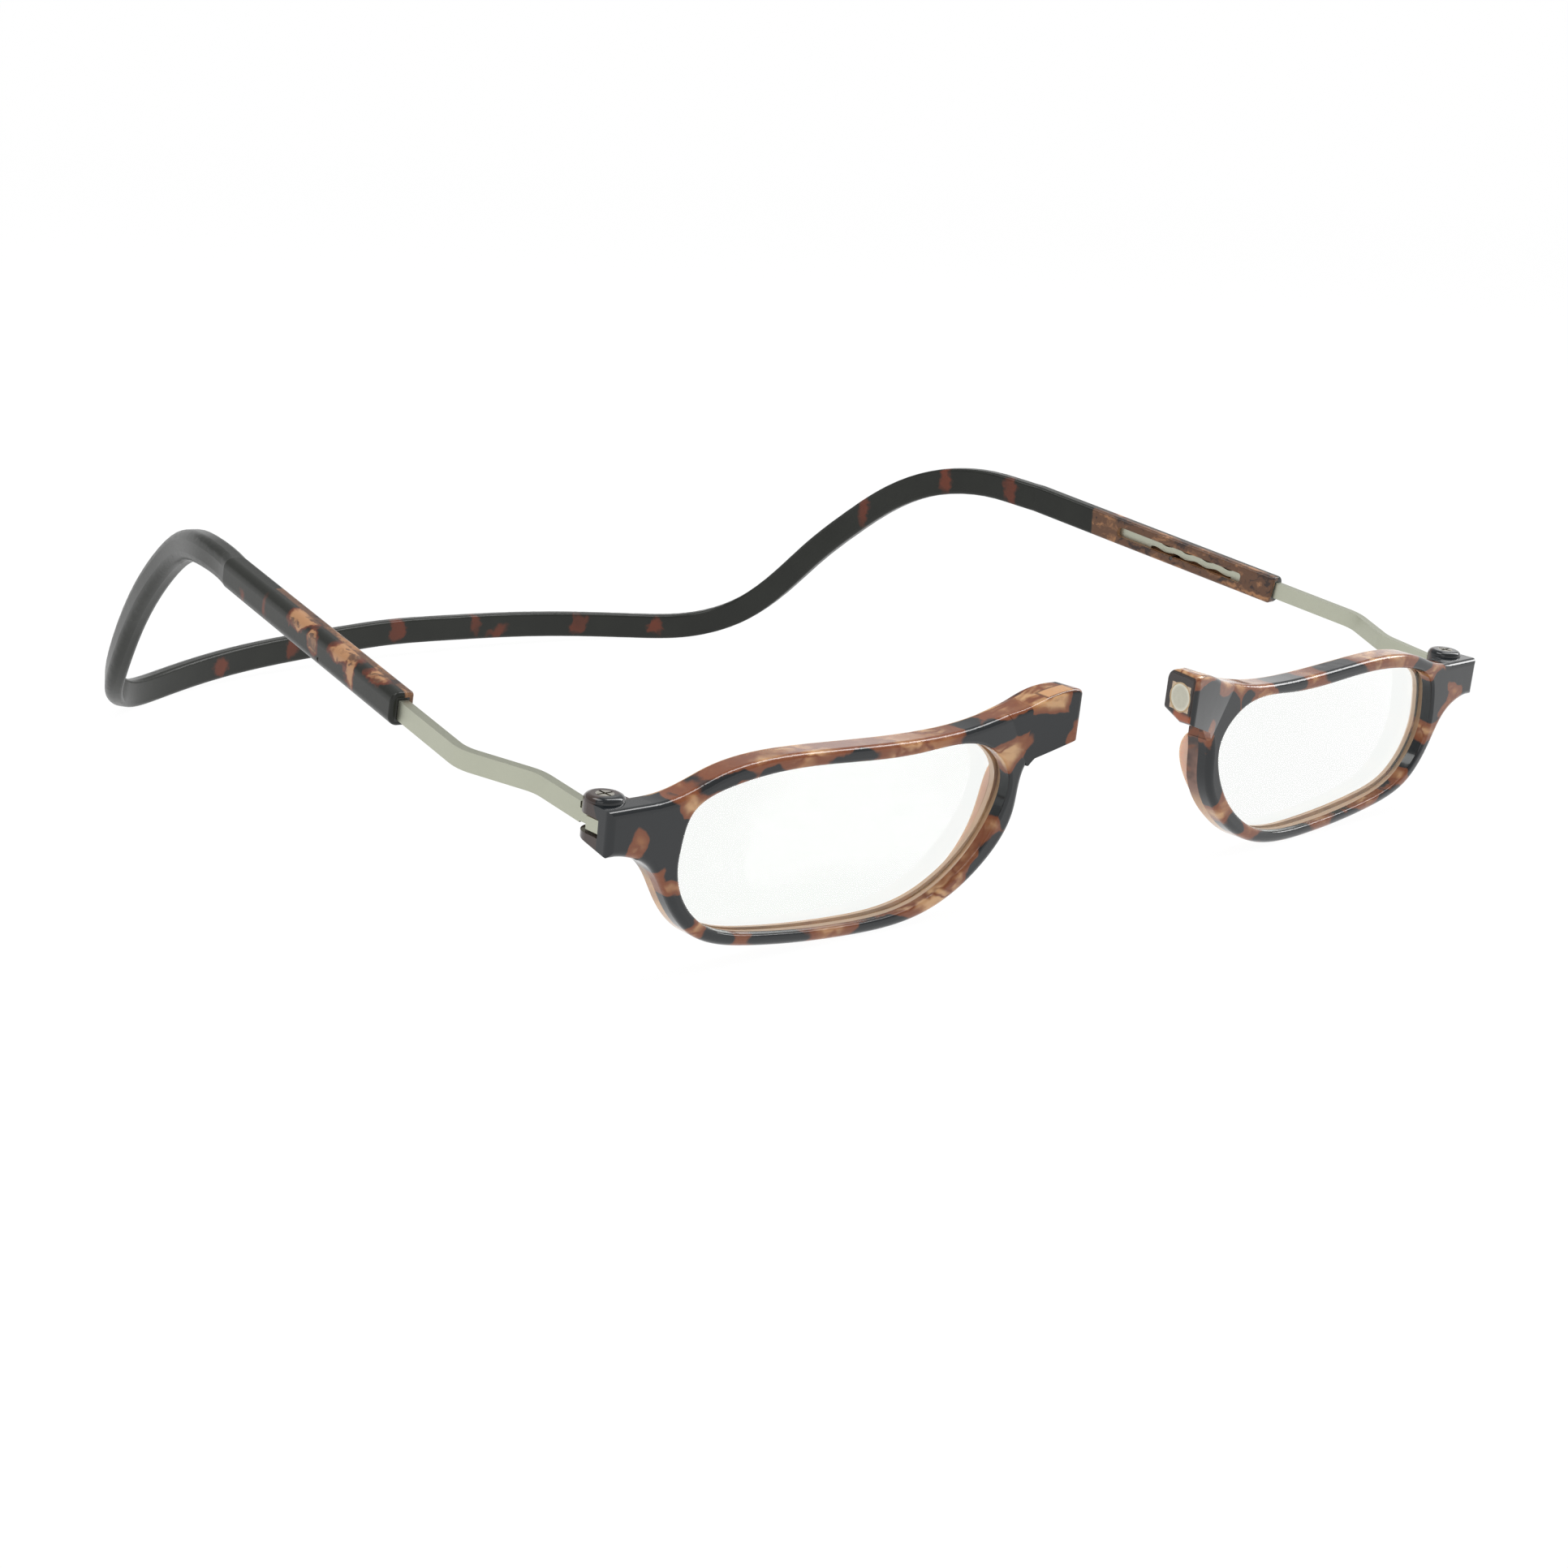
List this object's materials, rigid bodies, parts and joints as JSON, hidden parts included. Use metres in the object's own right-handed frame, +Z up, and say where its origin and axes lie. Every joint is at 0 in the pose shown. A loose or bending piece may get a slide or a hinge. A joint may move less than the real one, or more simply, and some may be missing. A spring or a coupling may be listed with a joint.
{
  "type": "magnetic bridge reading glasses",
  "caption": "Reading glasses whose front parts at the bridge and closes with magnets, on a one-piece headband with sliding, hinged arms.",
  "frame": {"origin": "on the ground, under the middle of the box round the glasses as they stand on both rims and the band", "axes": "+X to the viewer's right along the front, +Y from the front to the nape, +Z up"},
  "size_m": [0.1598, 0.1574, 0.0344],
  "materials": {
    "band_plastic": "satin charcoal with rust flecks",
    "tortoise_front": "polished tortoise, dark in front and tan behind",
    "clear_lens": "clear, polished",
    "tan_plastic": "translucent tan",
    "magnet_metal": "plated, satin",
    "screw_steel": "turned",
    "satin_metal": "satin nickel",
    "bush_brass": "turned",
    "dark_plastic": "moulded"
  },
  "bodies": {
    "headband": {"headband": "band_plastic", "left_guide_bush": "dark_plastic", "left_stop_pin": "screw_steel", "right_guide_bush": "dark_plastic", "right_stop_pin": "screw_steel"},
    "left_arm": {"left_temple_arm": "satin_metal", "left_hinge_bush": "bush_brass"},
    "left_front": {"left_rim": "tortoise_front", "left_lens": "clear_lens", "left_nose_pad": "tan_plastic", "left_magnet_seat": "tan_plastic", "left_bridge_magnet": "magnet_metal", "left_hinge_screw": "screw_steel"},
    "right_arm": {"right_temple_arm": "satin_metal", "right_hinge_bush": "bush_brass"},
    "right_front": {"right_rim": "tortoise_front", "right_lens": "clear_lens", "right_nose_pad": "tan_plastic", "right_magnet_seat": "tan_plastic", "right_bridge_magnet": "magnet_metal", "right_hinge_screw": "screw_steel"}
  },
  "joints": [
    {"name": "left_arm_slide", "type": "slide", "parent": "headband", "child": "left_arm", "axis": [0.1177, 0.9772, 0.1766], "range_m": [-0.0039, 0.0098]},
    {"name": "left_front_hinge", "type": "hinge", "parent": "left_arm", "child": "left_front", "pos_m": [-0.0748, -0.06925, 0.01783], "axis": [0, -0.0698, 0.9976], "range_deg": [-7.5, 85]},
    {"name": "right_arm_slide", "type": "slide", "parent": "headband", "child": "right_arm", "axis": [-0.1177, 0.9772, 0.1766], "range_m": [-0.0039, 0.0098]},
    {"name": "right_front_hinge", "type": "hinge", "parent": "right_arm", "child": "right_front", "pos_m": [0.0748, -0.06925, 0.01783], "axis": [0, 0.0698, -0.9976], "range_deg": [-5.5, 87]}
  ]
}
